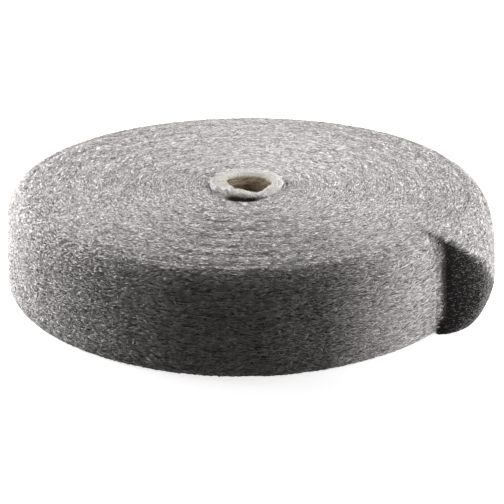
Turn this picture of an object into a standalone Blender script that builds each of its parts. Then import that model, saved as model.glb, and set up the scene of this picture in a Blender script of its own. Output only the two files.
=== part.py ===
"""Reel of steel wool: one long strip wound flat round an open paperboard core.

Metres, +Z up. The reel lies on its end, with the core upright and the cut end of the strip at the
front right, seen from -Y. The origin is the middle of the footprint, on the surface that carries it.
Round the core, a bearing is measured from the front (-Y) towards the right (+X). The strip winds
outwards by way of the front, the left, the back and the right.
"""

import math

import bmesh
import bpy

# Paperboard core
CORE_BORE = 0.051
CORE_WALL = 0.010
CORE_LENGTH = 0.103
CORE_RIM_ROUND = 0.003
CORE_ROUND_STEPS = 3
CORE_DENT = 0.0035
CORE_DENT_BEARING = math.radians(24)
CORE_DENT_SPREAD = math.radians(34)
CORE_DENT_REACH = 0.018
CORE_STEPS = 64

# Strip of wool and how it is wound
STRIP_WIDTH = 0.100
STRIP_THICKNESS = 0.0204
TURNS = 10.25
SEAT_CLEARANCE = 0.0003
TURN_GROOVE = 0.0025
CORE_SINK = 0.0015
CORE_SINK_WIDTH = 0.014
CORE_POCKET = 0.0050
CORE_POCKET_BEARING = math.radians(-12)
CORE_POCKET_SPREAD = math.radians(60)
TOP_SHOULDER_WIDTH = 0.0215
TOP_SHOULDER_DROP = 0.0225
BOTTOM_CORNER = 0.0035
WALL_BELLY = 0.0027
WALL_BELLY_RISE = 0.045

# Loose end: a puffed lobe that stands proud of the turn under it, with a blunt face to the front
END_BEARING = math.radians(51)
END_PUFF = 0.0165
END_NOSE_ARC = math.radians(8)
END_NOSE_ROUND = 0.45
END_PUFF_ARC = math.radians(58)
END_SHOULDER_WIDTH = 0.030
END_SHOULDER_DROP = 0.050
END_UNDERCUT_WIDTH = 0.015
END_UNDERCUT_HEIGHT = 0.032

# The wound strip isn't quite round: how far it swells towards one, two and three sides, and round
# the loose end
SWELL_SIDE = 0.0063
SWELL_SIDE_BEARING = math.radians(-50)
SWELL_OVAL = 0.0030
SWELL_OVAL_BEARING = math.radians(-10)
SWELL_THREE = 0.0030
SWELL_THREE_BEARING = math.radians(8.5)
SWELL_END = 0.0050
SWELL_END_SPREAD = math.radians(30)

# Fineness of the faceted solid
STATION_STEP = math.radians(6)
NOSE_STATIONS = (0.0, 0.05, 0.18, 0.38, 0.66, 1.0)
WALL_ROWS = 4
SMOOTH_ANGLE = math.radians(50)
TOP_CROWN = ((0.14, 0.80), (0.50, 1.0), (0.86, 0.80))
CROWN_MIDDLE = 0.50
BOTTOM_CROWN = (0.18, 0.60, 0.86)

CORE_OUTER = CORE_BORE / 2 + CORE_WALL
SEAT = CORE_OUTER + SEAT_CLEARANCE
REEL_RADIUS = SEAT + STRIP_THICKNESS * TURNS

STEEL = ("steel_wool", (0.42, 0.41, 0.40, 1.0), 0.55, 0.9)
PAPERBOARD = ("core_paperboard", (0.55, 0.48, 0.38, 1.0), 0.85, 0.0)


def clear_scene():
    """Removes what the scene starts with."""
    for thing in list(bpy.data.objects):
        bpy.data.objects.remove(thing)


def material(name, colour, roughness, metallic):
    """A plain Principled material."""
    finish = bpy.data.materials.new(name)
    finish.use_nodes = True
    shader = finish.node_tree.nodes["Principled BSDF"]
    shader.inputs["Base Color"].default_value = colour
    shader.inputs["Roughness"].default_value = roughness
    shader.inputs["Metallic"].default_value = metallic
    return finish


def smoothstep(value):
    """0 below 0, 1 above 1, with an even rise between."""
    value = min(max(value, 0.0), 1.0)
    return value * value * (3 - 2 * value)


def turned_away(bearing, other):
    """The unsigned angle between two bearings."""
    return abs((bearing - other + math.pi) % (2 * math.pi) - math.pi)


def swell(bearing):
    """How far the outermost turn lies outside a true spiral."""
    side = SWELL_SIDE * math.cos(bearing - SWELL_SIDE_BEARING)
    oval = SWELL_OVAL * math.cos(2 * (bearing - SWELL_OVAL_BEARING))
    three = SWELL_THREE * math.cos(3 * (bearing - SWELL_THREE_BEARING))
    end = SWELL_END * (1 - smoothstep(turned_away(bearing, END_BEARING) / SWELL_END_SPREAD))
    return side + oval + three + end


def round_drop(depth, width, height):
    """The drop of a rounded corner of that width and height, at a depth in from the rim."""
    share = min(max(depth / width, 0.0), 1.0)
    return height * (1 - math.sqrt(1 - (1 - share) ** 2))


class Winding:
    """The strip's stations, counted back from the tip of the loose end to the start at the core."""

    def __init__(self):
        nose = [END_NOSE_ARC * share for share in NOSE_STATIONS]
        rest = round((2 * math.pi - nose[-1]) / STATION_STEP)
        step = (2 * math.pi - nose[-1]) / rest
        self.offsets = nose + [nose[-1] + step * i for i in range(1, rest)]
        self.per_turn = len(self.offsets)
        self.last = self.per_turn + 1
        while self.back(self.last + 1) <= 2 * math.pi * TURNS:
            self.last += 1
        lows, highs = [], []
        for axis in range(2):
            rim = [self.place(self.widest(i), i)[axis] for i in range(self.per_turn)]
            lows.append(min(rim))
            highs.append(max(rim))
        self.middle = tuple((low + high) / 2 for low, high in zip(lows, highs))

    def back(self, station):
        """The winding angle from the tip back to a station."""
        turn, place = divmod(station, self.per_turn)
        return 2 * math.pi * turn + self.offsets[place]

    def bearing(self, station):
        """The bearing of a station round the core."""
        return END_BEARING + self.back(station)

    def spiral(self, station):
        """The plain spiral's radius on the strip's outer side, which reaches the seat at the start."""
        left = self.back(self.last) - self.back(station)
        return SEAT + max(left, 0.0) * STRIP_THICKNESS / (2 * math.pi)

    def outer(self, station):
        """The radius of the strip's outer side, with the loose end's nose and puff."""
        if station > self.per_turn:
            return self.spiral(station)
        if station in (0, self.per_turn):
            return self.spiral(self.per_turn)
        under = self.spiral(station + self.per_turn)
        blunt = self.blunt(station)
        return under + (self.spiral(station) - under) * blunt + END_PUFF * self.lobe(station)

    def blunt(self, station):
        """How much of its thickness the strip has reached, from 0 at the tip to 1 past the nose."""
        nose = min(self.back(station) / END_NOSE_ARC, 1.0)
        rounded = math.sqrt(1 - (1 - nose) ** 2)
        return nose + (rounded - nose) * END_NOSE_ROUND

    def lobe(self, station):
        """How puffed the outermost turn is at a station's bearing: 1 behind the nose, then less."""
        station %= self.per_turn
        past = 1 - smoothstep((self.back(station) - END_NOSE_ARC) / END_PUFF_ARC)
        return past * self.blunt(station)

    def inner(self, station):
        """The radius of the strip's inner side, on the turn under it or on the core."""
        if station == 0:
            return self.outer(0)
        if station + self.per_turn > self.last:
            return SEAT
        return self.outer(station + self.per_turn)

    def rim(self, station):
        """The radius of the reel's outermost side at a station's bearing."""
        return self.outer(station % self.per_turn)

    def towards_end(self, plain, end, station):
        """A size that goes from its plain value to its value where the loose end is fully puffed."""
        return plain + (end - plain) * self.lobe(station) ** 2

    def belly(self, station, height):
        """How far the outer side sags out at a height, below the upper shoulder."""
        drop = self.towards_end(TOP_SHOULDER_DROP, END_SHOULDER_DROP, station)
        below = STRIP_WIDTH - drop - height
        return WALL_BELLY * min(max(below / WALL_BELLY_RISE, 0.0), 1.0)

    def widest(self, station):
        """The radius of the outermost turn low on its outer side, where it sags out furthest."""
        radius = self.outer(station)
        return radius + self.belly(station, self.bottom(radius, station, 1.0))

    def place(self, radius, station):
        """The point at a radius from the core's middle, swollen more the further out it lies."""
        bearing = self.bearing(station)
        radius += swell(bearing) * max(radius - SEAT, 0.0) / (REEL_RADIUS - SEAT)
        return radius * math.sin(bearing), -radius * math.cos(bearing)

    def point(self, radius, station, height):
        """A vertex position, with the footprint's middle on the origin."""
        x, y = self.place(radius, station)
        return x - self.middle[0], y - self.middle[1], height

    def top(self, radius, station, crown):
        """The height of the upper end of the turns, less the grooves, the shoulder and the sink."""
        width = self.towards_end(TOP_SHOULDER_WIDTH, END_SHOULDER_WIDTH, station)
        drop = self.towards_end(TOP_SHOULDER_DROP, END_SHOULDER_DROP, station)
        shoulder = round_drop(self.rim(station) - radius, width, drop)
        near = 1 - smoothstep((radius - SEAT) / CORE_SINK_WIDTH)
        aside = turned_away(self.bearing(station), CORE_POCKET_BEARING) / CORE_POCKET_SPREAD
        sink = (CORE_SINK + CORE_POCKET * (1 - smoothstep(aside))) * near
        return STRIP_WIDTH - shoulder - TURN_GROOVE * (1 - crown) - sink

    def bottom(self, radius, station, crown):
        """The height of the lower end: flat crowns on the table, grooves and a round corner."""
        width = self.towards_end(BOTTOM_CORNER, END_UNDERCUT_WIDTH, station)
        height = self.towards_end(BOTTOM_CORNER, END_UNDERCUT_HEIGHT, station)
        lift = round_drop(self.rim(station) - radius, width, height)
        return max(lift, TURN_GROOVE * (1 - crown))


class Loft:
    """Joins rows of points, from one station to the next, into the closed body of the reel."""

    def __init__(self, winding):
        self.winding = winding
        self.mesh = bmesh.new()
        self.kept = {}

    def vertex(self, key, radius, station, height):
        """The vertex of that name, made when it is first asked for."""
        if key not in self.kept:
            place = self.winding.point(radius, station, height)
            self.kept[key] = self.mesh.verts.new(place)
        return self.kept[key]

    def edge_key(self, station, outside):
        """The name of a strip's edge, which two neighbouring turns share."""
        turn = self.winding.per_turn
        if outside:
            return "turn", turn if station == 0 else station
        if station == 0 or station == self.winding.last:
            return self.edge_key(station, True)
        if station + turn > self.winding.last:
            return "seat", station
        return "turn", station + turn

    def edge(self, station, outside, side):
        """The vertex at a strip's edge, on its upper or lower side."""
        winding = self.winding
        key = self.edge_key(station, outside)
        radius = winding.outer(station) if outside else winding.inner(station)
        exposed = key[0] == "turn" and key[1] <= winding.per_turn
        crown = 1.0 if exposed else 0.0
        height = getattr(winding, side)(radius, station, crown)
        if exposed:
            radius += winding.belly(station, height)
        return self.vertex((side, *key), radius, station, height)

    def row(self, station, side):
        """A station's vertices from the strip's inner edge to its outer edge."""
        first, last = self.edge(station, False, side), self.edge(station, True, side)
        if first is last:
            count = len(TOP_CROWN if side == "top" else BOTTOM_CROWN)
            return [first] * (count + 2)
        winding = self.winding
        inner, outer = winding.inner(station), winding.outer(station)
        crowns = TOP_CROWN if side == "top" else [(share, 1.0) for share in BOTTOM_CROWN]
        inside = []
        for place, (share, crown) in enumerate(crowns):
            if station < winding.per_turn and share > CROWN_MIDDLE:
                crown = 1.0
            radius = inner + (outer - inner) * share
            height = getattr(winding, side)(radius, station, crown)
            inside.append(self.vertex((side, station, place), radius, station, height))
        return [first, *inside, last]

    def wall(self, station):
        """The vertices down the outermost turn's outer side."""
        turn = self.winding.per_turn
        top, bottom = self.edge(station, True, "top"), self.edge(station, True, "bottom")
        radius = self.winding.outer(station)
        down = []
        for i in range(1, WALL_ROWS):
            height = top.co.z + (bottom.co.z - top.co.z) * i / WALL_ROWS
            key = ("wall", turn if station == 0 else station, i)
            wide = radius + self.winding.belly(station, height)
            down.append(self.vertex(key, wide, station, height))
        return [top, *down, bottom]

    def bridge(self, one, other):
        """Fills the band between two rows with faces, three-sided where the rows meet."""
        for i in range(len(one) - 1):
            corners = list(dict.fromkeys((one[i], one[i + 1], other[i + 1], other[i])))
            if len(corners) > 2:
                self.mesh.faces.new(corners)

    def body(self):
        """The mesh of the whole reel."""
        winding = self.winding
        for station in range(winding.last):
            self.bridge(self.row(station, "top"), self.row(station + 1, "top"))
            self.bridge(self.row(station + 1, "bottom"), self.row(station, "bottom"))
        for station in range(winding.per_turn):
            self.bridge(self.wall(station), self.wall(station + 1))
        for station in range(winding.last - winding.per_turn, winding.last):
            ends = [
                [self.edge(place, False, "bottom"), self.edge(place, False, "top")]
                for place in (station, station + 1)
            ]
            self.bridge(*ends)
        bmesh.ops.recalc_face_normals(self.mesh, faces=self.mesh.faces)
        return self.mesh


def wool_roll(collection, winding):
    """The strip of steel wool: all its turns are one body."""
    mesh = bpy.data.meshes.new("wool_roll")
    shape = Loft(winding).body()
    shape.to_mesh(mesh)
    shape.free()
    mesh.materials.append(material(*STEEL))
    mesh.shade_smooth()
    mesh.set_sharp_from_angle(angle=SMOOTH_ANGLE)
    collection.objects.link(bpy.data.objects.new("wool_roll", mesh))


def core_profile():
    """The tube's section as a closed loop, down its outer side and up its bore."""
    corners = (
        (CORE_OUTER, CORE_LENGTH, 1, 0),
        (CORE_OUTER, 0.0, 0, -1),
        (CORE_BORE / 2, 0.0, -1, 0),
        (CORE_BORE / 2, CORE_LENGTH, 0, 1),
    )
    points = []
    for number, (radius, height, *_) in enumerate(corners):
        sign_x = -1 if number < 2 else 1
        sign_z = 1 if number in (1, 2) else -1
        middle = (radius + sign_x * CORE_RIM_ROUND, height + sign_z * CORE_RIM_ROUND)
        for part in range(CORE_ROUND_STEPS + 1):
            angle = (1 - number - part / CORE_ROUND_STEPS) * math.pi / 2
            points.append(
                (
                    middle[0] + CORE_RIM_ROUND * math.cos(angle),
                    middle[1] + CORE_RIM_ROUND * math.sin(angle),
                )
            )
    return points


def dent(point):
    """How far the upper rim is pressed down at a point of the tube."""
    bearing = math.atan2(point.x, -point.y)
    near = 1 - smoothstep(turned_away(bearing, CORE_DENT_BEARING) / CORE_DENT_SPREAD)
    high = smoothstep((point.z - CORE_LENGTH + CORE_DENT_REACH) / CORE_DENT_REACH)
    return CORE_DENT * near * high


def core_tube(collection, winding):
    """The open paperboard core, turned from its section, with its upper rim dented at the front."""
    outline = core_profile()
    section = bpy.data.meshes.new("core_section")
    edges = [(i, (i + 1) % len(outline)) for i in range(len(outline))]
    section.from_pydata([(x, 0.0, z) for x, z in outline], edges, [])
    turned = bpy.data.objects.new("core_section", section)
    collection.objects.link(turned)
    screw = turned.modifiers.new("turn", "SCREW")
    screw.steps = CORE_STEPS
    screw.render_steps = CORE_STEPS
    screw.use_merge_vertices = True
    screw.merge_threshold = 0.00001
    graph = bpy.context.evaluated_depsgraph_get()
    mesh = bpy.data.meshes.new_from_object(turned.evaluated_get(graph))
    bpy.data.objects.remove(turned)
    mesh.name = "core_tube"
    for vertex in mesh.vertices:
        vertex.co.z -= dent(vertex.co)
    mesh.materials.append(material(*PAPERBOARD))
    mesh.shade_smooth()
    mesh.set_sharp_from_angle(angle=SMOOTH_ANGLE)
    tube = bpy.data.objects.new("core_tube", mesh)
    tube.location = (-winding.middle[0], -winding.middle[1], 0.0)
    collection.objects.link(tube)


def main():
    """Builds the reel from its two pieces."""
    clear_scene()
    collection = bpy.data.collections.new("steel_wool_reel")
    bpy.context.scene.collection.children.link(collection)
    winding = Winding()
    core_tube(collection, winding)
    wool_roll(collection, winding)


main()
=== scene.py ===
"""Looks of a steel wool reel: the matted strip with its loose fibres, and the paperboard core.

Everything is in metres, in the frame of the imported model. A bearing is measured round the core from
the front (-Y) towards the right (+X), and the strip winds outwards by the front, left, back and right.
"""

import logging
import math
from dataclasses import dataclass, field
from enum import Enum

import bmesh
import bpy
import numpy as np
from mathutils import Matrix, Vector, noise


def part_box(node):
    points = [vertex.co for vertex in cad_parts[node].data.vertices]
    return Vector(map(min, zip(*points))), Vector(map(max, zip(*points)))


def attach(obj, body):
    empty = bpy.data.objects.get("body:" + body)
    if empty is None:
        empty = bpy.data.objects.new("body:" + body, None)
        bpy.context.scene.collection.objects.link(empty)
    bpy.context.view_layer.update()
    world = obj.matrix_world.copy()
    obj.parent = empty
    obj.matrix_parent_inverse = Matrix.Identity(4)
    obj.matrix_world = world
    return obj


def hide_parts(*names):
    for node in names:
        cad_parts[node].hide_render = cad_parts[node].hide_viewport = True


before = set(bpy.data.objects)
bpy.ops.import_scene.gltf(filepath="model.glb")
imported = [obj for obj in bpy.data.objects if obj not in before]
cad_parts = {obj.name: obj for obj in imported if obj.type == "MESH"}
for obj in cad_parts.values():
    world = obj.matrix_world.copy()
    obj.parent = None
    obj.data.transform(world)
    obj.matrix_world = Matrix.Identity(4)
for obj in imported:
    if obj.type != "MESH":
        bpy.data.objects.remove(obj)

LOG = logging.getLogger("steel_wool_reel")
MM = 0.001
PICTURE_SIDE = 504
MERGE_DISTANCE = 0.001 * MM
FLAT_ANGLE = math.radians(50)
CORNER_ANGLE = math.radians(60)
REEL_MIDDLE = (0.0, 0.0, 0.06)
WHITE = (1.0, 1.0, 1.0, 1.0)
TINY = 1e-9
# The numbers of a colour mix's two colour inputs and of its colour output.
MIX_FROM, MIX_TO, MIXED = 6, 7, 2
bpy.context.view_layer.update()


def srgb(code: str) -> tuple[float, float, float, float]:
    """Turns a hex colour into linear RGBA.

    Args:
        code: six hex digits, as "c2bebe".

    Returns:
        The colour as Blender's sockets take it.
    """
    shares = [int(code[i : i + 2], 16) / 255 for i in (0, 2, 4)]
    linear = [s / 12.92 if s <= 0.04045 else ((s + 0.055) / 1.055) ** 2.4 for s in shares]
    return (*linear, 1.0)


def add_node(tree: bpy.types.NodeTree, kind: str, links: dict | None = None, **settings) -> bpy.types.Node:
    """Adds a node with its settings and links.

    Args:
        tree: the node tree that the node joins.
        kind: the node's class name.
        links: what feeds each input, by its name or number: an output socket or a plain value.
        settings: the node's own properties.

    Returns:
        The new node.
    """
    node = tree.nodes.new(kind)
    for name, value in settings.items():
        setattr(node, name, value)
    for name, value in (links or {}).items():
        if isinstance(value, bpy.types.NodeSocket):
            tree.links.new(value, node.inputs[name])
        else:
            node.inputs[name].default_value = value
    return node


def empty_material(name: str) -> tuple[bpy.types.Material, bpy.types.NodeTree]:
    """Makes a material with nothing in its tree.

    Args:
        name: the material's name.

    Returns:
        The material and its cleared node tree.
    """
    material = bpy.data.materials.new(name)
    material.use_nodes = True
    material.node_tree.nodes.clear()
    return material, material.node_tree


def core_axis() -> Vector:
    """Finds the core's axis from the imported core.

    Returns:
        The point where the axis meets the table.
    """
    low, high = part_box("core_tube")
    return Vector(((low.x + high.x) / 2, (low.y + high.y) / 2, 0.0))


def core_pattern(tree: bpy.types.NodeTree) -> tuple[bpy.types.NodeSocket, bpy.types.NodeSocket]:
    """Gives a material places that are measured from the core's axis.

    Args:
        tree: the material's node tree.

    Returns:
        The place from the axis, and the distance from it, in metres.
    """
    axis = core_axis()
    place = add_node(tree, "ShaderNodeTexCoord").outputs["Object"]
    centred = add_node(
        tree, "ShaderNodeMapping", {0: place, "Location": (-axis.x, -axis.y, 0.0)}
    ).outputs[0]
    flat = add_node(
        tree, "ShaderNodeVectorMath", {0: centred, 1: (1.0, 1.0, 0.0)}, operation="MULTIPLY"
    ).outputs[0]
    radius = add_node(tree, "ShaderNodeVectorMath", {0: flat}, operation="LENGTH").outputs["Value"]
    return centred, radius


def smoothstep(value: np.ndarray, start: float, end: float) -> np.ndarray:
    """Goes evenly from 0 to 1 between two values.

    Args:
        value: the numbers to place.
        start: where the rise starts.
        end: where it is 1.

    Returns:
        The shares, from 0 to 1.
    """
    share = np.clip((value - start) / (end - start), 0.0, 1.0)
    return share * share * (3 - 2 * share)


def polar(places: np.ndarray) -> tuple[np.ndarray, np.ndarray]:
    """Finds where points lie round the core.

    Args:
        places: points in metres, one a row.

    Returns:
        Their distances from the core's axis, and their bearings in degrees.
    """
    out = places - np.array(core_axis())
    return np.hypot(out[:, 0], out[:, 1]), np.degrees(np.arctan2(out[:, 0], -out[:, 1]))


def rounded_copy(node: str, levels: int) -> bpy.types.Mesh:
    """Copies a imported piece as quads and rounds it.

    Args:
        node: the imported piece's name.
        levels: how often each face is divided.

    Returns:
        The rounded mesh.
    """
    shape = bmesh.new()
    shape.from_mesh(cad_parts[node].data)
    bmesh.ops.remove_doubles(shape, verts=shape.verts, dist=MERGE_DISTANCE)
    bmesh.ops.join_triangles(
        shape,
        faces=shape.faces,
        angle_face_threshold=FLAT_ANGLE,
        angle_shape_threshold=CORNER_ANGLE,
    )
    rough = bpy.data.meshes.new(node)
    shape.to_mesh(rough)
    shape.free()
    holder = bpy.data.objects.new(node, rough)
    bpy.context.scene.collection.objects.link(holder)
    rounding = holder.modifiers.new("rounding", "SUBSURF")
    rounding.levels = levels
    rounding.render_levels = levels
    graph = bpy.context.evaluated_depsgraph_get()
    mesh = bpy.data.meshes.new_from_object(holder.evaluated_get(graph))
    bpy.data.objects.remove(holder)
    mesh.materials.clear()
    mesh.shade_smooth()
    return mesh


def vertex_places(mesh: bpy.types.Mesh) -> np.ndarray:
    """Reads where a mesh's vertices are.

    Args:
        mesh: the mesh to read.

    Returns:
        Their places in metres, one a row.
    """
    places = np.empty(len(mesh.vertices) * 3, np.float32)
    mesh.vertices.foreach_get("co", places)
    return places.reshape(-1, 3).astype(float)


def move_vertices(mesh: bpy.types.Mesh, points: list[Vector]) -> None:
    """Moves all of a mesh's vertices.

    Args:
        mesh: the mesh to change.
        points: each vertex's new place.
    """
    for vertex, point in zip(mesh.vertices, points):
        vertex.co = point


def mark_painted_shade(mesh: bpy.types.Mesh, shares: np.ndarray) -> None:
    """Notes on each vertex a share of painted shade, for the materials to darken it by.

    Args:
        mesh: the mesh that carries the attribute.
        shares: one share for each vertex, from 0 where nothing is painted to 1 where the painted shade is
            full.
    """
    mark = mesh.attributes.new("depth", "FLOAT", "POINT")
    mark.data.foreach_set("value", shares.astype(np.float32))


@dataclass(frozen=True)
class CutEnd:
    """Where the strip's cut end shows, on the front of the puffed lobe and down to its foot; the body is
    painted dark over it as painted shade. Its edges are bearings in degrees, and it slants down by `fall`
    for each degree."""

    inner: float = 200 * MM
    start: float = 50.8
    start_blur: float = 1.0
    shoulder: float = 0.4
    shoulder_heights: tuple[float, float] = (68 * MM, 94 * MM)
    foot: float = 0.8
    foot_heights: tuple[float, float] = (26 * MM, 6 * MM)
    end: float = 84.0
    blur: float = 5.0
    height: float = 107 * MM
    fall: float = 3.75 * MM
    fall_blur: float = 10 * MM

    def share(self, places: np.ndarray) -> np.ndarray:
        """Tells how much of the cut end each point shows.

        Args:
            places: points in metres, one a row.

        Returns:
            The shares, from 0 on the winding to 1 on the cut end.
        """
        ring, bearing = polar(places)
        start = self.start + self.shoulder * smoothstep(places[:, 2], *self.shoulder_heights)
        start -= self.foot * smoothstep(places[:, 2], *self.foot_heights)
        near = smoothstep(bearing - start, 0.0, self.start_blur)
        past = smoothstep(bearing, self.end, self.end - self.blur)
        top = self.height - self.fall * (bearing - self.start)
        below = smoothstep(places[:, 2], top, top - self.fall_blur)
        return near * past * below * (ring > self.inner)


@dataclass(frozen=True)
class CorePocket:
    """The gap between the core and the first turn, which opens towards the front. It spans `spread`
    degrees to either side of its middle."""

    bearing: float = -7.0
    spread: float = 42.0
    blur: float = 24.0
    reach: float = 54 * MM
    reach_blur: float = 6 * MM

    def openness(self, bearing: np.ndarray) -> np.ndarray:
        """Tells how wide the gap is open at each bearing.

        Args:
            bearing: bearings in degrees.

        Returns:
            The shares, from 0 where the wool hugs the core to 1 where the gap is open.
        """
        return smoothstep(np.abs(bearing - self.bearing), self.spread, self.spread - self.blur)

    def share(self, places: np.ndarray) -> np.ndarray:
        """Tells how much of the gap each point shows.

        Args:
            places: points in metres, one a row.

        Returns:
            The shares, from 0 on the winding to 1 in the gap.
        """
        ring, bearing = polar(places)
        return self.openness(bearing) * smoothstep(ring, self.reach, self.reach - self.reach_blur)


@dataclass(frozen=True)
class PlainFinish:
    """A finish with no pattern."""

    name: str
    colour: str
    roughness: float = 0.5
    specular: float = 0.8

    def build(self) -> bpy.types.Material:
        """Makes the material.

        Returns:
            The finished material.
        """
        material, tree = empty_material(self.name)
        shader = add_node(
            tree,
            "ShaderNodeBsdfPrincipled",
            {
                "Base Color": srgb(self.colour),
                "Roughness": self.roughness,
                "Specular IOR Level": self.specular,
            },
        )
        add_node(tree, "ShaderNodeOutputMaterial", {"Surface": shader.outputs[0]})
        return material


@dataclass(frozen=True)
class SteelFibre(PlainFinish):
    """Shaved low-carbon steel wire. Each shaving is rough and lies its own way, so that together they
    scatter light as a dull grey cloth does, with small bright glints and no mirror image. So a fibre
    is drawn as a grey scattering surface with a strong highlight."""


@dataclass(frozen=True)
class PaperFibre(PlainFinish):
    """Torn paperboard fibre: pale and matt, with hardly any highlight."""

    roughness: float = 0.9
    specular: float = 0.2


@dataclass(frozen=True)
class MattedWool:
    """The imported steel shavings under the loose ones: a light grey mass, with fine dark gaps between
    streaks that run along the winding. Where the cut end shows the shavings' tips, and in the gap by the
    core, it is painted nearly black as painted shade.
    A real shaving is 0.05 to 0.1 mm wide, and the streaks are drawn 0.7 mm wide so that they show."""

    name: str = "matted_steel_wool"
    deep: str = "3e3a39"
    streak: str = "c4c0be"
    # Painted shade: the colours of the cut end and of the gap by the core.
    cut_shade_deep: str = "080707"
    cut_shade_streak: str = "1c1a1a"
    streak_length: float = 10 * MM
    streak_width: float = 0.7 * MM
    streak_detail: float = 3.0
    streak_distortion: float = 0.4
    gap_level: float = 0.36
    streak_level: float = 0.62
    roughness: float = 0.6
    specular: float = 0.1
    bump_height: float = 0.5 * MM

    def streaks(self, tree: bpy.types.NodeTree) -> bpy.types.NodeSocket:
        """Lays the streaks round the core's axis.

        Args:
            tree: the material's node tree.

        Returns:
            A socket that is 0 in the gaps and 1 on the streaks.
        """
        centred, radius = core_pattern(tree)
        along = 1 / self.streak_length
        across = 1 / self.streak_width
        stretched = add_node(
            tree,
            "ShaderNodeVectorMath",
            {0: centred, 1: (along, along, across)},
            operation="MULTIPLY",
        ).outputs[0]
        ring = add_node(tree, "ShaderNodeMath", {0: radius, 1: across}, operation="MULTIPLY").outputs[0]
        mottle = add_node(
            tree,
            "ShaderNodeTexNoise",
            {
                "Vector": stretched,
                "W": ring,
                "Scale": 1.0,
                "Detail": self.streak_detail,
                "Distortion": self.streak_distortion,
            },
            noise_dimensions="4D",
        ).outputs[0]
        return add_node(
            tree,
            "ShaderNodeMapRange",
            {"Value": mottle, "From Min": self.gap_level, "From Max": self.streak_level},
            interpolation_type="SMOOTHSTEP",
        ).outputs[0]

    def build(self) -> bpy.types.Material:
        """Makes the streaked material, with painted shade by the mesh's depth attribute.

        Returns:
            The finished material.
        """
        material, tree = empty_material(self.name)
        streaks = self.streaks(tree)
        # Painted shade: the depth attribute darkens the cut end and the gap by the core towards near
        # black.
        cut = add_node(tree, "ShaderNodeAttribute", attribute_name="depth").outputs["Fac"]
        winding, end = (
            add_node(
                tree,
                "ShaderNodeMix",
                {0: streaks, MIX_FROM: srgb(deep), MIX_TO: srgb(light)},
                data_type="RGBA",
            ).outputs[MIXED]
            for deep, light in ((self.deep, self.streak), (self.cut_shade_deep, self.cut_shade_streak))
        )
        colour = add_node(
            tree, "ShaderNodeMix", {0: cut, MIX_FROM: winding, MIX_TO: end}, data_type="RGBA"
        ).outputs[MIXED]
        bump = add_node(
            tree, "ShaderNodeBump", {"Height": streaks, "Distance": self.bump_height}
        ).outputs[0]
        shader = add_node(
            tree,
            "ShaderNodeBsdfPrincipled",
            {
                "Base Color": colour,
                "Roughness": self.roughness,
                "Specular IOR Level": self.specular,
                "Normal": bump,
            },
        )
        add_node(tree, "ShaderNodeOutputMaterial", {"Surface": shader.outputs[0]})
        return material


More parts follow.
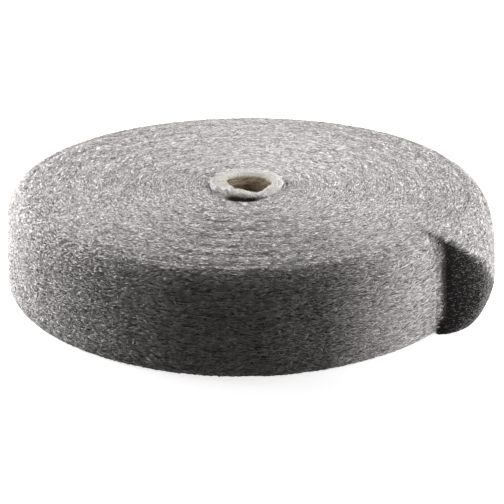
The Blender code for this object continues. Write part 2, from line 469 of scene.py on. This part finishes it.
@dataclass(frozen=True)
class Paperboard:
    """Grey paperboard, wound from thin plies and uncoated: matt and furry, pale at the worn rim, and
    brown with wavy ply edges down the bore. Its outer wall is painted dark where the wool stands off it,
    as painted shade in that gap. A real ply is about 0.5 mm thick, and the plies are drawn 1.1 mm high so
    that they show."""

    name: str = "core_paperboard"
    rim: str = "f2efe9"
    ply: str = "b8a792"
    ply_edge: str = "75675a"
    # Painted shade: the outer wall's colour where the wool stands off it.
    outside: str = "2e2822"
    ply_height: float = 1.1 * MM
    ply_wave: float = 7 * MM
    ply_detail: float = 2.0
    edge_level: float = 0.38
    ply_level: float = 0.58
    rim_rise: float = 3 * MM
    rim_depth: float = 3 * MM
    ragged_size: float = 4 * MM
    ragged_depth: float = 6 * MM
    ragged_detail: float = 2.0
    wall_from: float = 2 * MM
    wall_to: float = 1 * MM
    roughness: float = 0.9
    bump_height: float = 0.5 * MM

    def build(self) -> bpy.types.Material:
        """Makes the paperboard, with the bore told from the rim by depth and radius.

        Returns:
            The finished material.
        """
        material, tree = empty_material(self.name)
        low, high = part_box("core_tube")
        centred, radius = core_pattern(tree)
        wave = 1 / self.ply_wave
        stretched = add_node(
            tree,
            "ShaderNodeVectorMath",
            {0: centred, 1: (wave, wave, 1 / self.ply_height)},
            operation="MULTIPLY",
        ).outputs[0]
        plies = add_node(
            tree, "ShaderNodeTexNoise", {"Vector": stretched, "Scale": 1.0, "Detail": self.ply_detail}
        ).outputs[0]
        ragged = add_node(
            tree,
            "ShaderNodeTexNoise",
            {"Vector": centred, "Scale": 1 / self.ragged_size, "Detail": self.ragged_detail},
        ).outputs[0]
        height = add_node(tree, "ShaderNodeSeparateXYZ", {0: centred}).outputs["Z"]
        shifted = add_node(
            tree, "ShaderNodeMath", {0: ragged, 1: self.ragged_depth, 2: height}, operation="MULTIPLY_ADD"
        ).outputs[0]
        top = high.z + self.rim_rise
        worn = add_node(
            tree,
            "ShaderNodeMapRange",
            {"Value": shifted, "From Min": top - 2 * self.rim_depth, "From Max": top - self.rim_depth},
            interpolation_type="SMOOTHSTEP",
        ).outputs[0]
        edge = add_node(
            tree,
            "ShaderNodeMapRange",
            {"Value": plies, "From Min": self.edge_level, "From Max": self.ply_level},
            interpolation_type="SMOOTHSTEP",
        ).outputs[0]
        outer = (high.x - low.x) / 2
        outside = add_node(
            tree,
            "ShaderNodeMapRange",
            {"Value": radius, "From Min": outer - self.wall_from, "From Max": outer - self.wall_to},
        ).outputs[0]
        # Painted shade: the outer wall is painted dark where the depth attribute marks the pocket.
        open_gap = add_node(tree, "ShaderNodeAttribute", attribute_name="depth").outputs["Fac"]
        bore, wall = (
            add_node(
                tree,
                "ShaderNodeMix",
                {0: share, MIX_FROM: srgb(first), MIX_TO: srgb(second)},
                data_type="RGBA",
            ).outputs[MIXED]
            for share, first, second in (
                (edge, self.ply_edge, self.ply),
                (open_gap, self.rim, self.outside),
            )
        )
        side = add_node(
            tree, "ShaderNodeMix", {0: outside, MIX_FROM: bore, MIX_TO: wall}, data_type="RGBA"
        ).outputs[MIXED]
        colour = add_node(
            tree, "ShaderNodeMix", {0: worn, MIX_FROM: side, MIX_TO: srgb(self.rim)}, data_type="RGBA"
        ).outputs[MIXED]
        bump = add_node(
            tree, "ShaderNodeBump", {"Height": plies, "Distance": self.bump_height}
        ).outputs[0]
        shader = add_node(
            tree,
            "ShaderNodeBsdfPrincipled",
            {"Base Color": colour, "Roughness": self.roughness, "Normal": bump},
        )
        add_node(tree, "ShaderNodeOutputMaterial", {"Surface": shader.outputs[0]})
        return material


class Surface:
    """A finished mesh as numbers, from which fibres take their places."""

    def __init__(self, mesh: bpy.types.Mesh) -> None:
        """Reads the mesh's triangles.

        Args:
            mesh: the mesh that the fibres lie on.
        """
        mesh.calc_loop_triangles()
        count = len(mesh.loop_triangles)
        corners = np.empty(count * 3, np.int32)
        mesh.loop_triangles.foreach_get("vertices", corners)
        normals = np.empty(len(mesh.vertices) * 3, np.float32)
        mesh.vertices.foreach_get("normal", normals)
        corners = corners.reshape(-1, 3)
        self.corners = vertex_places(mesh)[corners]
        self.normals = normals.reshape(-1, 3).astype(float)[corners]
        sides = np.cross(
            self.corners[:, 1] - self.corners[:, 0], self.corners[:, 2] - self.corners[:, 0]
        )
        self.areas = np.linalg.norm(sides, axis=1) / 2
        self.middles = self.corners.mean(axis=1)
        self.facing = self.normals.mean(axis=1)

    def scatter(
        self, count: int, weights: np.ndarray, rng: np.random.Generator
    ) -> tuple[np.ndarray, np.ndarray]:
        """Draws places on the surface.

        Args:
            count: how many places.
            weights: how likely each triangle is, for its area.
            rng: the source of chance, with its seed set.

        Returns:
            The places and the unit normals there.
        """
        chance = self.areas * weights
        picked = rng.choice(len(chance), size=count, p=chance / chance.sum())
        shares = rng.random((count, 2))
        over = shares.sum(axis=1) > 1
        shares[over] = 1 - shares[over]
        mix = np.column_stack([1 - shares.sum(axis=1), shares])[:, :, None]
        places = (self.corners[picked] * mix).sum(axis=1)
        normals = (self.normals[picked] * mix).sum(axis=1)
        normals /= np.linalg.norm(normals, axis=1, keepdims=True) + TINY
        return places, normals


def blade() -> tuple[np.ndarray, np.ndarray]:
    """Makes one straight fibre, a unit long and a unit wide: a closed three-sided sliver, pointed at
    both ends, with four faces.

    Returns:
        Its points, with the length along x, and its triangles.
    """
    half, keel, merging = 0.5, 0.25, 0.001
    shape = bmesh.new()
    bmesh.ops.create_cone(shape, segments=3, radius1=half, radius2=0.0, depth=1.0, cap_ends=True)
    bmesh.ops.remove_doubles(shape, verts=shape.verts, dist=merging)
    shape.verts.ensure_lookup_table()
    base = sorted(shape.verts, key=lambda v: v.co.z)[:3]
    tail = max(base, key=lambda v: v.co.y)
    sides = sorted((v for v in base if v is not tail), key=lambda v: v.co.x)
    tail.co = (0.0, keel, -half)
    max(shape.verts, key=lambda v: v.co.z).co = (0.0, keel, half)
    sides[0].co = (-half, -keel, 0.0)
    sides[1].co = (half, -keel, 0.0)
    bmesh.ops.recalc_face_normals(shape, faces=shape.faces)
    points = np.array([(v.co.z, v.co.x, v.co.y) for v in shape.verts])
    faces = np.array([[v.index for v in f.verts] for f in shape.faces])
    shape.free()
    return points, faces


def mesh_from(name: str, points: np.ndarray, faces: np.ndarray) -> bpy.types.Mesh:
    """Makes a mesh from many copies of a small shape.

    Args:
        name: the mesh's name.
        points: the points of all the copies.
        faces: the triangles of all the copies.

    Returns:
        The mesh.
    """
    mesh = bpy.data.meshes.new(name)
    mesh.vertices.add(len(points))
    mesh.vertices.foreach_set("co", points.astype(np.float32).ravel())
    mesh.loops.add(faces.size)
    mesh.loops.foreach_set("vertex_index", faces.astype(np.int32).ravel())
    mesh.polygons.add(len(faces))
    mesh.polygons.foreach_set("loop_start", np.arange(0, faces.size, 3, dtype=np.int32))
    mesh.update(calc_edges=True)
    mesh.validate()
    return mesh


def link(piece: bpy.types.Object) -> bpy.types.Object:
    """Puts a piece in the scene, on the reel's only body.

    Args:
        piece: the finished piece.

    Returns:
        The same piece.
    """
    bpy.context.scene.collection.objects.link(piece)
    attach(piece, "root")
    LOG.info("%s: %d faces", piece.name, len(piece.data.polygons))
    return piece


@dataclass
class WoolBody:
    """The wound strip as one soft, lumpy body with all its turns."""

    node: str = "wool_roll"
    levels: int = 1
    felting: int = 10
    felting_factor: float = 0.5
    felted_ring: float = 212 * MM
    felted_slope: float = 0.5
    lump_size: float = 26 * MM
    lump_height: float = 0.45 * MM
    lump_crowding: float = 1.5
    tuft_size: float = 6 * MM
    tuft_height: float = 0.06 * MM
    tuft_stretch: float = 2.0
    tuft_crowding: float = 1.2
    table_gap: float = 0.3 * MM
    cut_end: CutEnd = field(default_factory=CutEnd)
    pocket: CorePocket = field(default_factory=CorePocket)
    finish: MattedWool = field(default_factory=MattedWool)

    def felt(self, mesh: bpy.types.Mesh) -> None:
        """Softens the grooves between the turns' upper edges, which hook into each other.

        Args:
            mesh: the rounded strip.
        """
        axis = core_axis()
        shape = bmesh.new()
        shape.from_mesh(mesh)
        upper = [
            vertex
            for vertex in shape.verts
            if vertex.normal.z > self.felted_slope
            and math.hypot(vertex.co.x - axis.x, vertex.co.y - axis.y) < self.felted_ring
        ]
        for _ in range(self.felting):
            bmesh.ops.smooth_vert(shape, verts=upper, factor=self.felting_factor, use_axis_z=True)
        shape.to_mesh(mesh)
        shape.free()

    def roughen(self, mesh: bpy.types.Mesh) -> None:
        """Raises lumps and tufts on the turns.

        Args:
            mesh: the rounded strip.
        """
        axis = core_axis()
        moved = []
        for vertex in mesh.vertices:
            place = vertex.co - axis
            ring = Vector((place.x, place.y, 0.0)).length
            lump = noise.noise(Vector((place.x, place.y, ring * self.lump_crowding)) / self.lump_size)
            stretched = Vector((place.x / self.tuft_stretch, place.y / self.tuft_stretch, 0.0))
            stretched.z = (ring + place.z) * self.tuft_crowding
            tuft = noise.noise(stretched / self.tuft_size)
            rise = self.lump_height * lump + self.tuft_height * tuft
            point = vertex.co + vertex.normal * rise
            point.z = max(point.z, self.table_gap)
            moved.append(point)
        move_vertices(mesh, moved)

    def mark_painted_shades(self, mesh: bpy.types.Mesh) -> None:
        """Notes on each vertex how much painted shade it takes, at the cut end and in the core's pocket.

        Args:
            mesh: the rounded strip.
        """
        places = vertex_places(mesh)
        mark_painted_shade(mesh, np.maximum(self.cut_end.share(places), self.pocket.share(places)))

    def build(self) -> bpy.types.Object:
        """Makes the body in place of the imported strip.

        Returns:
            The finished body.
        """
        mesh = rounded_copy(self.node, self.levels)
        self.felt(mesh)
        self.roughen(mesh)
        self.mark_painted_shades(mesh)
        mesh.materials.append(self.finish.build())
        mesh.name = "wool_body"
        piece = link(bpy.data.objects.new("wool_body", mesh))
        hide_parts(self.node)
        return piece


class Lay(Enum):
    """How a lot of fibres lies."""

    WINDING = "along the winding, all over the reel"
    CUT_END = "out of the strip's cut end"
    RIM = "every way, on the core's upper rim"


@dataclass
class FibreLot:
    """One lot of loose fibres of one shade.

    Real coarse steel wool is 0.05 to 0.1 mm thick. Its fibres are drawn two to five times as thick,
    so that a number of them that a renderer can hold still covers the reel.
    """

    name: str
    finish: PlainFinish
    count: int
    seed: int
    lay: Lay = Lay.WINDING
    slot: str = "steel_wool"
    length: tuple[float, float] = (5 * MM, 13 * MM)
    width: tuple[float, float] = (0.14 * MM, 0.34 * MM)
    slant: float = math.radians(9)
    sway: float = math.radians(24)
    sway_lengths: tuple[float, float] = (16 * MM, 48 * MM)
    wild_share: float = 0.12
    wild_slant: float = math.radians(45)
    sway_waves: int = 6
    sway_seed: int = 5
    bend: float = 0.08
    lift: float = 0.6 * MM
    lift_shares: tuple[float, float] = (0.1, 1.0)
    dip: float = 0.6 * MM
    dip_shares: tuple[float, float] = (0.3, 1.0)
    tilt_share: float = 0.5
    stray_share: float = 0.025
    stray_rise: float = 1.8 * MM
    steep_from: float = 0.75
    steep_blur: float = 0.35
    steep_rise: tuple[float, float] = (0.5, 2.0)
    underside_share: float = 0.2
    underside_slope: float = -0.7
    table_gap: float = 0.1 * MM
    cut_length: float = 0.7
    cut_from: float = 0.0
    cut_gather: float = 16.0
    core_margin: float = 0.8 * MM
    rim_depth: float = 5 * MM
    rim_inner: float = 0.0
    quick_part: int = 6
    cut_end: CutEnd = field(default_factory=CutEnd)
    pocket: CorePocket = field(default_factory=CorePocket)

    def weights(self, surface: Surface) -> np.ndarray:
        """How densely the fibres lie on each triangle.

        Args:
            surface: the surface that carries them.

        Returns:
            One weight for each triangle.
        """
        low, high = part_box("core_tube")
        ring, bearing = polar(surface.middles)
        open_gap = self.pocket.share(surface.middles)
        if self.lay is Lay.RIM:
            above = surface.middles[:, 2] > high.z - self.rim_depth
            if self.rim_inner:
                return above * (ring > self.rim_inner) * (1 - open_gap)
            return above.astype(float)
        cut = self.cut_end.share(surface.middles)
        if self.lay is Lay.CUT_END:
            return cut * smoothstep(bearing, self.cut_from, self.cut_from + self.cut_gather)
        weights = (1 - cut) * (1 - open_gap)
        weights[surface.facing[:, 2] < self.underside_slope] *= self.underside_share
        weights[ring < (high.x - low.x) / 2 + self.core_margin] = 0.0
        return weights

    def swaying(self, places: np.ndarray) -> np.ndarray:
        """Leans whole tufts of neighbouring fibres the same way, as combed wool lies.

        Args:
            places: where the fibres lie.

        Returns:
            The lean of each fibre's tuft, in radians.
        """
        rng = np.random.default_rng(self.sway_seed)
        waves = rng.normal(0, 1, (self.sway_waves, 3))
        waves /= np.linalg.norm(waves, axis=1, keepdims=True)
        waves *= 2 * math.pi / rng.uniform(*self.sway_lengths, self.sway_waves)[:, None]
        phases = rng.uniform(0, 2 * math.pi, self.sway_waves)
        return self.sway * np.sin(places @ waves.T + phases).mean(axis=1)

    def directions(
        self, places: np.ndarray, normals: np.ndarray, rng: np.random.Generator
    ) -> tuple[np.ndarray, np.ndarray]:
        """Turns each fibre.

        Args:
            places: where the fibres lie.
            normals: the surface's unit normals there.
            rng: the source of chance, with its seed set.

        Returns:
            The way that each fibre runs, and how steeply it stands out of the surface, from 0 to 1.
        """
        count = len(places)
        out = places - np.array(core_axis())
        winding = np.column_stack([-out[:, 1], out[:, 0], np.zeros(count)])
        winding /= np.linalg.norm(winding, axis=1, keepdims=True) + TINY
        into = (winding * normals).sum(axis=1)
        round_way = winding - normals * into[:, None]
        flat = np.linalg.norm(round_way, axis=1)
        round_way /= flat[:, None] + TINY
        steep = np.clip((self.steep_from - flat) / self.steep_blur, 0, 1)
        wild = rng.random(count) < self.wild_share
        slant = rng.normal(0, 1, count) * np.where(wild, self.wild_slant, self.slant)
        slant += self.swaying(places)
        slant += rng.uniform(-math.pi / 2, math.pi / 2, count) * steep
        across = np.cross(normals, round_way)
        along = round_way * np.cos(slant)[:, None] + across * np.sin(slant)[:, None]
        rise = np.sign(into + TINY) * rng.uniform(*self.steep_rise, count) * steep
        along = along + normals * rise[:, None]
        along /= np.linalg.norm(along, axis=1, keepdims=True)
        return along, steep

    def build(self, surface: Surface) -> bpy.types.Object:
        """Lays the lot on the surface.

        Args:
            surface: the surface that carries it.

        Returns:
            The piece that holds the whole lot.
        """
        rng = np.random.default_rng(self.seed)
        count = self.count
        places, normals = surface.scatter(count, self.weights(surface), rng)
        along, steep = self.directions(places, normals, rng)
        aside = np.cross(normals, along)
        aside /= np.linalg.norm(aside, axis=1, keepdims=True) + TINY
        above = np.cross(along, aside)
        length = rng.uniform(*self.length, count) * (1 - steep * (1 - self.cut_length))
        width = rng.uniform(*self.width, count)
        bend = rng.normal(0, self.bend, count)
        lift = rng.uniform(*self.lift_shares, count) * self.lift
        dip = rng.uniform(*self.dip_shares, count) * self.dip
        stray = rng.random(count) < self.stray_share
        tilt = rng.normal(0, self.tilt_share, count) * self.dip
        tilt += stray * rng.uniform(-1, 1, count) * self.stray_rise
        roll = rng.uniform(-math.pi, math.pi, count)[:, None]
        points, faces = blade()
        run = points[:, 0]
        bow = 1 - (2 * run) ** 2
        breadth = (points[None, :, 1] * np.cos(roll) - points[None, :, 2] * np.sin(roll)) * width[:, None]
        height = (points[None, :, 1] * np.sin(roll) + points[None, :, 2] * np.cos(roll)) * width[:, None]
        forward = run[None, :] * length[:, None]
        sideways = bow[None, :] * (bend * length)[:, None] + breadth
        upward = bow[None, :] * (lift + dip)[:, None] - dip[:, None] + run[None, :] * tilt[:, None]
        made = (
            places[:, None, :]
            + along[:, None, :] * forward[:, :, None]
            + aside[:, None, :] * sideways[:, :, None]
            + above[:, None, :] * (upward + height)[:, :, None]
        )
        made[:, :, 2] = np.maximum(made[:, :, 2], self.table_gap)
        all_faces = faces[None, :, :] + (np.arange(count) * len(points))[:, None, None]
        mesh = mesh_from(self.name, made.reshape(-1, 3), all_faces.reshape(-1, 3))
        mesh.materials.append(self.finish.build())
        return link(bpy.data.objects.new(self.name, mesh))


@dataclass
class PaperCore:
    """The paperboard tube, with a ragged upper rim that swells inwards at the left, and wavy plies
    down its bore."""

    node: str = "core_tube"
    levels: int = 2
    rim_reach: float = 10 * MM
    rim_wave: float = 9 * MM
    rim_height: float = 1.3 * MM
    frayed_size: float = 2.5 * MM
    frayed_height: float = 0.45 * MM
    ply_wave: float = 8 * MM
    ply_size: float = 1.6 * MM
    ply_height: float = 0.3 * MM
    swell: float = 8 * MM
    swell_bearing: float = math.radians(-78)
    swell_ring: float = 31 * MM
    pocket: CorePocket = field(default_factory=CorePocket)
    finish: Paperboard = field(default_factory=Paperboard)

    def wear(self, mesh: bpy.types.Mesh) -> None:
        """Frays the rim and ripples the bore.

        Args:
            mesh: the rounded tube.
        """
        axis = core_axis()
        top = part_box(self.node)[1].z
        moved = []
        for vertex in mesh.vertices:
            place = vertex.co - axis
            near = min(max((place.z - top + self.rim_reach) / self.rim_reach, 0.0), 1.0)
            wave = noise.noise(Vector((place.x, place.y, 0.0)) / self.rim_wave)
            frayed = noise.noise(place / self.frayed_size)
            ply = noise.noise(
                Vector((place.x / self.ply_wave, place.y / self.ply_wave, place.z / self.ply_size))
            )
            rise = (self.rim_height * wave + self.frayed_height * frayed) * near
            side = Vector((vertex.normal.x, vertex.normal.y, 0.0))
            step = side * (self.ply_height * ply + self.frayed_height * frayed * near)
            ring = math.hypot(place.x, place.y)
            lean = math.cos(math.atan2(place.x, -place.y) - self.swell_bearing)
            if lean > 0 and ring < self.swell_ring:
                inwards = Vector((-place.x, -place.y, 0.0)) / ring
                step += inwards * self.swell * (lean * near) ** 2
            moved.append(vertex.co + step + Vector((0.0, 0.0, rise)))
        move_vertices(mesh, moved)

    def build(self) -> bpy.types.Object:
        """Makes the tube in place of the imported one.

        Returns:
            The finished tube.
        """
        mesh = rounded_copy(self.node, self.levels)
        _, bearing = polar(vertex_places(mesh))
        # Painted shade: the tube is marked where the core's pocket opens, for its outer wall to be painted
        # dark.
        mark_painted_shade(mesh, self.pocket.openness(bearing))
        self.wear(mesh)
        mesh.materials.append(self.finish.build())
        mesh.name = "paper_core"
        piece = link(bpy.data.objects.new("paper_core", mesh))
        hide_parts(self.node)
        return piece


@dataclass(frozen=True)
class Softbox:
    """A soft lamp at a bearing round the reel."""

    name: str
    bearing: float
    elevation: float
    power: float
    width: float = 0.8
    height: float = 0.8
    spread: float = 180.0
    distance: float = 1.6
    aim: tuple[float, float, float] = REEL_MIDDLE

    def build(self) -> None:
        """Hangs the lamp and turns it to its aim."""
        bearing = math.radians(self.bearing)
        elevation = math.radians(self.elevation)
        way = Vector(
            (
                math.sin(bearing) * math.cos(elevation),
                -math.cos(bearing) * math.cos(elevation),
                math.sin(elevation),
            )
        )
        data = bpy.data.lights.new(self.name, "AREA")
        data.shape = "RECTANGLE"
        data.size = self.width
        data.size_y = self.height
        data.spread = math.radians(self.spread)
        data.energy = self.power
        lamp = bpy.data.objects.new(self.name, data)
        lamp.location = way * self.distance + Vector(REEL_MIDDLE)
        lamp.rotation_euler = (Vector(self.aim) - lamp.location).to_track_quat("-Z", "Y").to_euler()
        bpy.context.scene.collection.objects.link(lamp)


@dataclass
class Studio:
    """Camera, lamps, floor and white surroundings, as the reel was photographed."""

    distance: float = 1.84
    elevation: float = math.radians(19.5)
    focal_pixels: float = 1866.0
    core_pixel: tuple[float, float] = (246.5, 182.5)
    core_height: float = 0.101
    sensor: float = 36.0
    nearest: float = 0.05
    farthest: float = 50.0
    floor_reach: float = 12.0
    floor_colour: str = "f4f4f4"
    floor_bounce: str = "202020"
    floor_glow: float = 0.80
    fill: float = 0.024
    lamps: tuple[Softbox, ...] = (
        Softbox("left_softbox", -100, 15, 4.5, 0.5, 0.5, distance=0.8),
        Softbox("left_rear_softbox", -130, 20, 13.5),
        Softbox("left_spot", -92, 35, 0.16, 0.2, 0.2, 32, 0.9, aim=(-0.22, 0.03, 0.1)),
        Softbox("right_softbox", 88, 15, 2.4, 0.5, 0.5, distance=0.8),
        Softbox("right_rear_softbox", 130, 20, 11.0),
        Softbox("right_spot", 100, 35, 0.15, 0.2, 0.2, 32, 0.9, aim=(0.20, 0.06, 0.1)),
        Softbox("rear_softbox", 180, 20, 6.5),
        Softbox("strip_box", 32, 12, 0.190, 0.04, 0.5, 11, aim=(0.18, -0.151, 0.06)),
    )

    def camera(self) -> None:
        """Places the camera so that the core's upper end lands on its pixel."""
        target = core_axis() + Vector((0.0, 0.0, self.core_height))
        back = Vector((0.0, -math.cos(self.elevation), math.sin(self.elevation)))
        middle = PICTURE_SIDE / 2
        pitch = self.elevation + math.atan((middle - self.core_pixel[1]) / self.focal_pixels)
        yaw = math.atan((middle - self.core_pixel[0]) / self.focal_pixels)
        ahead = Vector((math.sin(yaw), math.cos(yaw) * math.cos(pitch), -math.cos(yaw) * math.sin(pitch)))
        data = bpy.data.cameras.new("camera")
        data.sensor_width = self.sensor
        data.lens = self.focal_pixels / PICTURE_SIDE * self.sensor
        data.clip_start = self.nearest
        data.clip_end = self.farthest
        camera = bpy.data.objects.new("camera", data)
        camera.location = target + back * self.distance
        camera.rotation_euler = ahead.to_track_quat("-Z", "Y").to_euler()
        bpy.context.scene.collection.objects.link(camera)
        bpy.context.scene.camera = camera

    def seen(self, tree: bpy.types.NodeTree) -> bpy.types.NodeSocket:
        """Tells the rays that see a surface, straight or by gloss or glass, from those that light.

        Args:
            tree: the node tree that asks.

        Returns:
            A socket that is 1 for the rays that see.
        """
        rays = add_node(tree, "ShaderNodeLightPath")
        mirrored = add_node(
            tree,
            "ShaderNodeMath",
            {0: rays.outputs["Is Camera Ray"], 1: rays.outputs["Is Glossy Ray"]},
            operation="MAXIMUM",
        )
        return add_node(
            tree,
            "ShaderNodeMath",
            {0: mirrored.outputs[0], 1: rays.outputs["Is Transmission Ray"]},
            operation="MAXIMUM",
        ).outputs[0]

    def floor(self) -> None:
        """Lays a wide pale floor."""
        shape = bmesh.new()
        bmesh.ops.create_grid(shape, x_segments=1, y_segments=1, size=self.floor_reach)
        mesh = bpy.data.meshes.new("floor")
        shape.to_mesh(mesh)
        shape.free()
        material, tree = empty_material("pale_floor")
        unlit = add_node(tree, "ShaderNodeBsdfDiffuse", {"Color": srgb(self.floor_bounce)})
        pale = add_node(tree, "ShaderNodeBsdfDiffuse", {"Color": srgb(self.floor_colour)})
        glow = add_node(tree, "ShaderNodeEmission", {"Color": WHITE, "Strength": self.floor_glow})
        white = add_node(tree, "ShaderNodeAddShader", {0: pale.outputs[0], 1: glow.outputs[0]})
        mixed = add_node(
            tree,
            "ShaderNodeMixShader",
            {0: self.seen(tree), 1: unlit.outputs[0], 2: white.outputs[0]},
        )
        add_node(tree, "ShaderNodeOutputMaterial", {"Surface": mixed.outputs[0]})
        mesh.materials.append(material)
        piece = bpy.data.objects.new("floor", mesh)
        bpy.context.scene.collection.objects.link(piece)

    def surroundings(self) -> None:
        """White for the camera, dim for the light."""
        world = bpy.data.worlds.new("studio")
        bpy.context.scene.world = world
        world.use_nodes = True
        tree = world.node_tree
        tree.nodes.clear()
        dim = add_node(tree, "ShaderNodeBackground", {"Color": WHITE, "Strength": self.fill})
        white = add_node(tree, "ShaderNodeBackground", {"Color": WHITE, "Strength": 1.0})
        mixed = add_node(
            tree,
            "ShaderNodeMixShader",
            {0: self.seen(tree), 1: dim.outputs[0], 2: white.outputs[0]},
        )
        add_node(tree, "ShaderNodeOutputWorld", {"Surface": mixed.outputs[0]})

    def build(self) -> None:
        """Sets the whole studio up."""
        self.camera()
        self.floor()
        self.surroundings()
        for lamp in self.lamps:
            lamp.build()
        bpy.context.scene.view_settings.view_transform = "Standard"


def main() -> None:
    """Builds the reel's looks and the studio."""
    Studio().build()
    wool = Surface(WoolBody().build().data)
    bright = SteelFibre("bright_steel_fibre", "ece8e6")
    plain = SteelFibre("plain_steel_fibre", "bcb8b6")
    dull = SteelFibre("dull_steel_fibre", "7e7a79")
    # Painted shade: near-black fibres for the cut end.
    shaded = SteelFibre("shaded_steel_fibre", "1c1a1a", specular=0.05)
    for name, finish, count, seed in (
        ("fibres_bright_1", bright, 43000, 11),
        ("fibres_bright_2", bright, 43000, 12),
        ("fibres_plain_1", plain, 43000, 13),
        ("fibres_plain_2", plain, 43000, 14),
        ("fibres_dull", dull, 33000, 15),
    ):
        FibreLot(name, finish, count, seed).build(wool)
    FibreLot("fibres_cut_end", shaded, 3000, 16, Lay.CUT_END, length=(2 * MM, 6 * MM)).build(wool)
    FibreLot(
        "fibres_cut_tips",
        dull,
        8500,
        17,
        Lay.CUT_END,
        length=(2 * MM, 5 * MM),
        width=(0.1 * MM, 0.24 * MM),
        cut_from=49.0,
    ).build(wool)
    paper = Surface(PaperCore().build().data)
    frayed = PaperFibre("torn_paper_fibre", "f4f1eb")
    FibreLot(
        "fibres_core_rim",
        frayed,
        5500,
        18,
        Lay.RIM,
        "core_paperboard",
        length=(2 * MM, 6 * MM),
        width=(0.2 * MM, 0.45 * MM),
        wild_share=0.8,
    ).build(paper)
    FibreLot(
        "fibres_over_rim",
        bright,
        3600,
        19,
        Lay.RIM,
        length=(5 * MM, 12 * MM),
        wild_share=0.6,
        rim_inner=30.5 * MM,
    ).build(paper)


if __name__ == "__main__":
    logging.basicConfig(level=logging.INFO)
    main()
